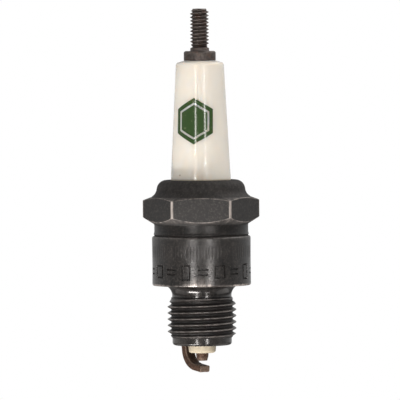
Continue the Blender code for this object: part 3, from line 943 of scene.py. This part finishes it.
class Nodes:
    """Builds a node tree. Its methods give sockets, and take sockets, plain numbers and colours."""

    def __init__(self, owner):
        owner.use_nodes = True
        self.nodes = owner.node_tree.nodes
        self.links = owner.node_tree.links
        self.nodes.clear()

    def put(self, socket, value):
        if isinstance(value, bpy.types.NodeSocket):
            self.links.new(value, socket)
        elif isinstance(value, tuple):
            socket.default_value = (*value, 1.0)[: len(socket.default_value)]
        else:
            socket.default_value = value

    def add(self, kind, values=None):
        """Adds a node with values for its inputs, by name or number."""
        node = self.nodes.new("ShaderNode" + kind)
        for key, value in (values or {}).items():
            self.put(node.inputs[key], value)
        return node

    def spread(self, value, low, high, to_low=0.0, to_high=1.0):
        """From to_low where value is low to to_high where it is high, and no further."""
        limits = {"From Min": low, "From Max": high, "To Min": to_low, "To Max": to_high}
        return self.add("MapRange", {"Value": value, **limits}).outputs[0]

    def graded(self, value, stops):
        """A grey that depends on value; stops are (value, grey) in rising order."""
        low, high = stops[0][0], stops[-1][0]
        node = self.add("ValToRGB", {"Fac": self.spread(value, low, high)})
        elements = node.color_ramp.elements
        for i, (place, grey) in enumerate(stops):
            share = (place - low) / (high - low)
            element = elements[i] if i < 2 else elements.new(share)
            element.position = share
            element.color = (grey, grey, grey, 1.0)
        return node.outputs["Color"]

    def part(self, vector, axis):
        return self.add("SeparateXYZ", {0: vector}).outputs[axis]

    def calc(self, operation, a, b, clamp=False):
        node = self.add("Math", {0: a, 1: b})
        node.operation = operation
        node.use_clamp = clamp
        return node.outputs[0]

    def mix(self, share, a, b):
        node = self.nodes.new("ShaderNodeMix")
        node.data_type = "RGBA"
        self.put(node.inputs["Factor"], share)
        self.put(node.inputs[6], a)
        self.put(node.inputs[7], b)
        return node.outputs[2]


class Finish(Nodes):
    """A material with one Principled shader."""

    def __init__(self, name, metallic=0.0, specular=0.5):
        self.material = bpy.data.materials.new(name)
        super().__init__(self.material)
        self.shader = self.add("BsdfPrincipled", {"Metallic": metallic, "Specular IOR Level": specular})
        self.add("OutputMaterial", {"Surface": self.shader.outputs[0]})
        self.place = self.add("TexCoord").outputs["Object"]

    def set(self, name, value):
        self.put(self.shader.inputs[name], value)

    def attribute(self, name):
        node = self.add("Attribute")
        node.attribute_name = name
        return node.outputs["Fac"]

    def noise(self, scale, detail=3.0, roughness=0.55, stretch=None):
        """Noise with scale in cells per metre."""
        place = self.place
        if stretch:
            place = self.add("Mapping", {"Vector": place, "Scale": stretch}).outputs[0]
        values = {"Vector": place, "Scale": scale, "Detail": detail, "Roughness": roughness}
        return self.add("TexNoise", values).outputs["Fac"]

    def spots(self, scale):
        """Distance to the nearest of scattered points, with scale in points per metre."""
        return self.add("TexVoronoi", {"Vector": self.place, "Scale": scale}).outputs["Distance"]

    def by_height(self, stops):
        """A value that depends on height; stops are (height in mm, value)."""
        return self.graded(self.part(self.place, "Z"), [(height * MM, value) for height, value in stops])

    def bump(self, *layers):
        """Adds relief; each layer is (height from 0 to 1, depth in metres)."""
        normal = {}
        for height, depth in layers:
            node = self.add("Bump", {"Strength": 1.0, "Distance": depth, "Height": height, **normal})
            normal = {"Normal": node.outputs[0]}
        self.set("Normal", node.outputs[0])


# (height, roughness) stops up the shell: pilot, thread, fillet, body, neck, hexagon, crimp
STEEL_ROUGHNESS = [(-12.0, 0.17), (-10.45, 0.17), (-10.3, 0.32), (-2.6, 0.32), (-2.3, 0.18), (0.0, 0.18)]
STEEL_ROUGHNESS += [(0.2, 0.28), (4.5, 0.28), (6.5, 0.34), (9.6, 0.34), (10.0, 0.37), (12.3, 0.37)]
STEEL_ROUGHNESS += [(12.6, 0.6), (18.5, 0.68), (21.0, 0.74)]


def blackened_steel(name, specular, speckled):
    """Black oxide on turned and rolled steel, rubbed through to bright metal where wear says so.

    speckled is how strong the fine bright specks are on the faces that aren't polished.
    """
    f = Finish(name, specular=specular)
    patches = f.noise(260.0, 4.0, 0.6)
    fine = f.noise(2600.0, 3.0, 0.6)
    streaks = f.noise(900.0, 4.0, 0.65, stretch=(1.0, 1.0, 0.12))
    black, dark_grey, grey = (0.0025, 0.0024, 0.0024), (0.0075, 0.0066, 0.006), (0.026, 0.022, 0.019)
    rust_and_shade_brown, bare_metal = (0.007, 0.0038, 0.0024), (0.6, 0.54, 0.5)
    # grime_and_shade browns and roughens the steel and takes its bright specks away: rust and dirt, and
    # painted shade in the neck groove and the stamped floors
    grime_and_shade = f.attribute("grime_and_shade")
    dark = f.mix(f.spread(patches, 0.35, 0.65), black, dark_grey)
    dark = f.mix(f.spread(fine, 0.45, 0.75, 0.0, 0.5), dark, grey)
    rust = f.calc("MULTIPLY", grime_and_shade, f.spread(f.noise(420.0, 4.0, 0.6), 0.42, 0.6), clamp=True)
    dark = f.mix(f.calc("MULTIPLY", rust, 0.7), dark, rust_and_shade_brown)
    rubbed = f.calc("MULTIPLY", f.attribute("wear"), f.spread(streaks, 0.36, 0.62, 0.1, 1.0), clamp=True)
    # turned faces are smoother than the crimp and the hexagon
    turned = f.by_height(STEEL_ROUGHNESS)
    uneven = f.calc("ADD", turned, f.spread(f.noise(1400.0, 3.0), 0.3, 0.7, -0.03, 0.05))
    f.set("Roughness", f.calc("ADD", uneven, f.calc("MULTIPLY", grime_and_shade, 0.3)))
    unpolished = f.spread(turned, 0.2, 0.28)
    speckle = f.calc("MULTIPLY", unpolished, f.spread(fine, 0.52, 0.72, 0.0, speckled))
    speckle = f.calc("MULTIPLY", speckle, f.calc("SUBTRACT", 1.0, grime_and_shade, clamp=True))
    rubbed = f.calc("ADD", rubbed, speckle, clamp=True)
    f.set("Base Color", f.mix(rubbed, dark, bare_metal))
    f.set("Metallic", rubbed)
    scratches = f.calc("MULTIPLY", streaks, unpolished)
    f.bump((patches, 0.000004), (scratches, 0.000004), (fine, 0.0000005))
    return f.material


def glazed_ceramic():
    """Cream glazed alumina: it scatters light inside, except where dirt covers it."""
    f = Finish("glazed_ceramic_look", specular=0.2)
    f.set("Subsurface Radius", (0.0035, 0.003, 0.0025))
    f.set("Subsurface Scale", 1.0)
    cloud = f.noise(120.0, 3.0)
    body = f.mix(f.spread(cloud, 0.35, 0.65), (0.565, 0.54, 0.487), (0.6, 0.572, 0.516))
    smears = f.spread(f.noise(500.0, 4.0), 0.3, 0.7, 0.9, 1.0)
    dirt = f.calc("MULTIPLY", f.attribute("grime_and_shade"), smears, clamp=True)
    body = f.mix(f.calc("MULTIPLY", dirt, 0.85), body, (0.4, 0.34, 0.235))
    specks = f.calc("LESS_THAN", f.spots(260.0), 0.055)
    sparse = f.calc("GREATER_THAN", f.noise(90.0, 1.0), 0.56)
    specks = f.calc("MULTIPLY", f.calc("MULTIPLY", specks, sparse), 0.7)
    f.set("Base Color", f.mix(specks, body, (0.25, 0.2, 0.14)))
    f.set("Subsurface Weight", f.calc("SUBTRACT", 1.0, dirt, clamp=True))
    f.set("Roughness", f.spread(dirt, 0.0, 1.0, 0.11, 0.5))
    f.bump((f.noise(150.0, 2.0), 0.000004))
    return f.material


def green_print():
    f = Finish("green_print_look", specular=0.4)
    wear = f.spread(f.noise(1500.0, 4.0, 0.7), 0.62, 0.7)
    tone = f.mix(f.noise(240.0, 3.0), (0.018, 0.042, 0.01), (0.027, 0.056, 0.016))
    f.set("Base Color", f.mix(f.calc("MULTIPLY", wear, 0.4), tone, (0.3, 0.33, 0.2)))
    f.set("Roughness", f.spread(f.noise(600.0), 0.3, 0.7, 0.12, 0.16))
    return f.material


def dark_steel():
    f = Finish("dark_steel_look", metallic=0.7)
    patches = f.noise(700.0, 4.0, 0.65)
    dark = f.mix(f.spread(patches, 0.35, 0.65), (0.04, 0.033, 0.03), (0.08, 0.065, 0.058))
    rust = f.spread(f.noise(900.0, 4.0, 0.6), 0.5, 0.64)
    dark = f.mix(f.calc("MULTIPLY", rust, 0.7), dark, (0.075, 0.036, 0.023))
    rubbed = f.calc("MULTIPLY", f.attribute("wear"), f.spread(f.noise(1800.0, 3.0), 0.35, 0.65), clamp=True)
    f.set("Base Color", f.mix(rubbed, dark, (0.4, 0.37, 0.35)))
    f.set("Roughness", f.spread(patches, 0.3, 0.7, 0.42, 0.62))
    f.bump((f.noise(3000.0, 3.0), 0.00002))
    return f.material


def burnt_nickel():
    f = Finish("burnt_nickel_look", metallic=0.45, specular=0.25)
    grains = f.noise(5200.0, 4.0, 0.7)
    patches = f.noise(900.0, 4.0, 0.6)
    brown = f.mix(f.spread(patches, 0.35, 0.65), (0.024, 0.011, 0.0065), (0.075, 0.04, 0.025))
    brown = f.mix(f.spread(grains, 0.45, 0.75, 0.0, 0.6), brown, (0.2, 0.135, 0.1))
    brown = f.mix(f.calc("MULTIPLY", f.attribute("grime_and_shade"), 0.45), brown, (0.035, 0.02, 0.013))
    rubbed = f.calc("MULTIPLY", f.attribute("wear"), f.spread(grains, 0.3, 0.6, 0.4, 1.0), clamp=True)
    f.set("Base Color", f.mix(rubbed, brown, (0.38, 0.3, 0.24)))
    f.set("Roughness", f.spread(grains, 0.3, 0.7, 0.45, 0.7))
    f.bump((patches, 0.00005), (grains, 0.00002))
    return f.material


def inside_metal(name, low, high, roughness, metallic):
    """A plain worked metal for a piece sealed inside the plug."""
    f = Finish(name, metallic=metallic)
    f.set("Base Color", f.mix(f.noise(800.0, 4.0), low, high))
    f.set("Roughness", f.spread(f.noise(1500.0), 0.3, 0.7, roughness - 0.08, roughness + 0.08))
    f.bump((f.noise(2500.0, 3.0, stretch=(1.0, 1.0, 0.2)), 0.00001))
    return f.material


def inside_glass():
    f = Finish("seal_glass_look")
    f.set("Base Color", f.mix(f.spread(f.spots(2500.0), 0.1, 0.5), (0.05, 0.05, 0.048), (0.17, 0.155, 0.14)))
    f.set("Roughness", f.spread(f.noise(1200.0), 0.3, 0.7, 0.12, 0.3))
    return f.material


def inside_talc():
    f = Finish("talc_look")
    f.set("Base Color", f.mix(f.noise(1800.0, 5.0), (0.62, 0.6, 0.56), (0.78, 0.76, 0.72)))
    f.set("Roughness", f.spread(f.noise(2500.0), 0.3, 0.7, 0.8, 0.95))
    f.bump((f.noise(4000.0, 4.0), 0.00003))
    return f.material


def paint(obj, look):
    obj.data.materials.clear()
    obj.data.materials.append(look)


def paint_shell(shell, look, matt_look):
    """The crimp and the neck are duller than the rest."""
    paint(shell, look)
    shell.data.materials.append(matt_look)
    for face in shell.data.polygons:
        height = face.center.z / MM
        if height > HEX_TOP or NECK_STEP_Z < height < HEX_BOTTOM:
            face.material_index = 1


# ---- putting the plug together

steel = blackened_steel("blackened_steel_look", 0.5, 0.035)
matt_steel = blackened_steel("blackened_steel_matt_look", 0.3, 0.015)
ceramic = glazed_ceramic()
nickel = burnt_nickel()
pieces = [
    (make_shell(), steel, "shell", "blackened_steel"),
    (make_insulator(), ceramic, "insulator", "glazed_ceramic"),
    (make_stud(), dark_steel(), "terminal_stud", "dark_steel"),
    (make_centre_electrode(), nickel, "centre_electrode", "nickel_alloy"),
    (make_ground_electrode(), nickel, "ground_electrode", "nickel_alloy"),
]
for piece, look, node, slot in pieces:
    if node == "shell":
        paint_shell(piece, look, matt_steel)
    else:
        paint(piece, look)
    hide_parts(node)
    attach(piece, "root")

badge = make_print()
paint(badge, green_print())
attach(badge, "root")

ring_steel = inside_metal("packing_steel_look", (0.36, 0.35, 0.34), (0.5, 0.49, 0.47), 0.4, 1.0)
inside = {
    "electrode_core": inside_metal("copper_look", (0.62, 0.26, 0.16), (0.75, 0.36, 0.24), 0.32, 1.0),
    "glass_seal": inside_glass(),
    "talc_packing": inside_talc(),
    "upper_packing_ring": ring_steel,
    "lower_packing_ring": ring_steel,
    "inner_gasket": ring_steel,
}
for node, look in inside.items():
    paint(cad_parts[node], look)


# ---- floor, light and camera

LEVEL = 0.0172  # height that the camera and the lights aim at, in metres
FLOOR_DROP = 0.5


def make_floor():
    mesh = bpy.data.meshes.new("floor")
    half = 3.0
    z = cad_bounds[0][2] - FLOOR_DROP
    corners = [(-half, -half, z), (half, -half, z), (half, half, z), (-half, half, z)]
    mesh.from_pydata(corners, [], [(0, 1, 2, 3)])
    floor = bpy.data.objects.new("floor", mesh)
    bpy.context.scene.collection.objects.link(floor)
    f = Finish("floor_look", specular=0.0)
    f.set("Base Color", (0.45, 0.45, 0.45))
    f.set("Roughness", 0.9)
    f.set("Emission Color", (1.0, 1.0, 1.0))
    seen = f.add("LightPath").outputs["Is Camera Ray"]
    f.set("Emission Strength", f.calc("MULTIPLY", seen, 0.8))
    paint(floor, f.material)


# strength of the surroundings by one part of the direction: (part from -1 to 1, strength)
FRONT_TO_BACK = [(-1.0, 0.33), (-0.75, 0.33), (-0.2, 0.46), (0.4, 0.72), (1.0, 0.65)]
BOTTOM_TO_TOP = [(-1.0, 0.2), (-0.6, 0.3), (-0.15, 1.0), (0.25, 1.0), (0.7, 0.55), (1.0, 0.5)]


def make_world():
    """A soft tent: dim behind the camera, above and below, brighter round the back, white to the camera."""
    world = bpy.data.worlds.new("studio")
    bpy.context.scene.world = world
    f = Nodes(world)
    white = (1.0, 1.0, 1.0)
    way = f.add("TexCoord").outputs["Generated"]
    depth = f.graded(f.part(way, "Y"), FRONT_TO_BACK)
    height = f.graded(f.part(way, "Z"), BOTTOM_TO_TOP)
    tent = f.add("Background", {"Color": white, "Strength": f.calc("MULTIPLY", depth, height)})
    backdrop = f.add("Background", {"Color": white})
    seen = f.add("LightPath").outputs["Is Camera Ray"]
    choice = f.add("MixShader", {0: seen, 1: tent.outputs[0], 2: backdrop.outputs[0]})
    f.add("OutputWorld", {"Surface": choice.outputs[0]})


# softboxes: azimuth, elevation, width and height in degrees as the plug sees them, and radiance
PANELS = {
    "strip_left": (-20.0, -3.0, 3.3, 30.0, 33.0),
    "strip_left_low": (-20.0, -32.0, 3.5, 28.0, 18.0),
    "strip_right": (19.5, -3.0, 3.0, 30.0, 36.0),
    "strip_right_low": (19.5, -32.0, 3.0, 28.0, 10.0),
    "card_left": (-38.0, -49.0, 30.0, 8.0, 44.0),
    "card_right": (25.0, -47.0, 12.0, 6.0, 7.0),
    "side_left": (-95.0, -38.0, 60.0, 28.0, 0.6),
    "side_right": (100.0, -38.0, 60.0, 28.0, 0.8),
    "high_left": (-95.0, 50.0, 70.0, 30.0, 1.0),
    "high_right": (95.0, 50.0, 70.0, 30.0, 3.8),
}


def make_panel(name, azimuth, elevation, width, height, radiance):
    """A slightly warm softbox aimed at the plug; azimuth 0 is the camera's side."""
    distance = 0.45
    light = bpy.data.lights.new(name, "AREA")
    light.shape = "RECTANGLE"
    light.size = 2 * distance * math.tan(math.radians(width / 2))
    light.size_y = 2 * distance * math.tan(math.radians(height / 2))
    light.energy = radiance * math.pi * light.size * light.size_y
    light.color = (1.0, 0.955, 0.925)
    lamp = bpy.data.objects.new(name, light)
    turn, lift = math.radians(azimuth), math.radians(elevation)
    way = Vector((math.sin(turn) * math.cos(lift), -math.cos(turn) * math.cos(lift), math.sin(lift)))
    lamp.location = Vector((0.0, 0.0, LEVEL)) + way * distance
    lamp.rotation_euler = way.to_track_quat("Z", "Y").to_euler()
    bpy.context.scene.collection.objects.link(lamp)


def make_camera():
    distance = 1.0
    view_width = 0.0808  # of the photo at the plug, in metres
    pitch, roll = math.radians(1.7), math.radians(0.5)
    data = bpy.data.cameras.new("camera")
    data.sensor_width = 36.0
    data.lens = data.sensor_width * distance / view_width
    data.clip_start, data.clip_end = 0.01, 10.0
    camera = bpy.data.objects.new("camera", data)
    target = Vector((-0.0002, 0.0, LEVEL))
    camera.location = target + Vector((0.0, -distance * math.cos(pitch), distance * math.sin(pitch)))
    camera.rotation_euler = Euler((math.radians(90.0) - pitch, 0.0, 0.0))
    camera.rotation_euler.rotate_axis("Z", -roll)
    bpy.context.scene.collection.objects.link(camera)
    bpy.context.scene.camera = camera


make_floor()
make_world()
for name, values in PANELS.items():
    make_panel(name, *values)
make_camera()
bpy.context.scene.view_settings.view_transform = "Standard"
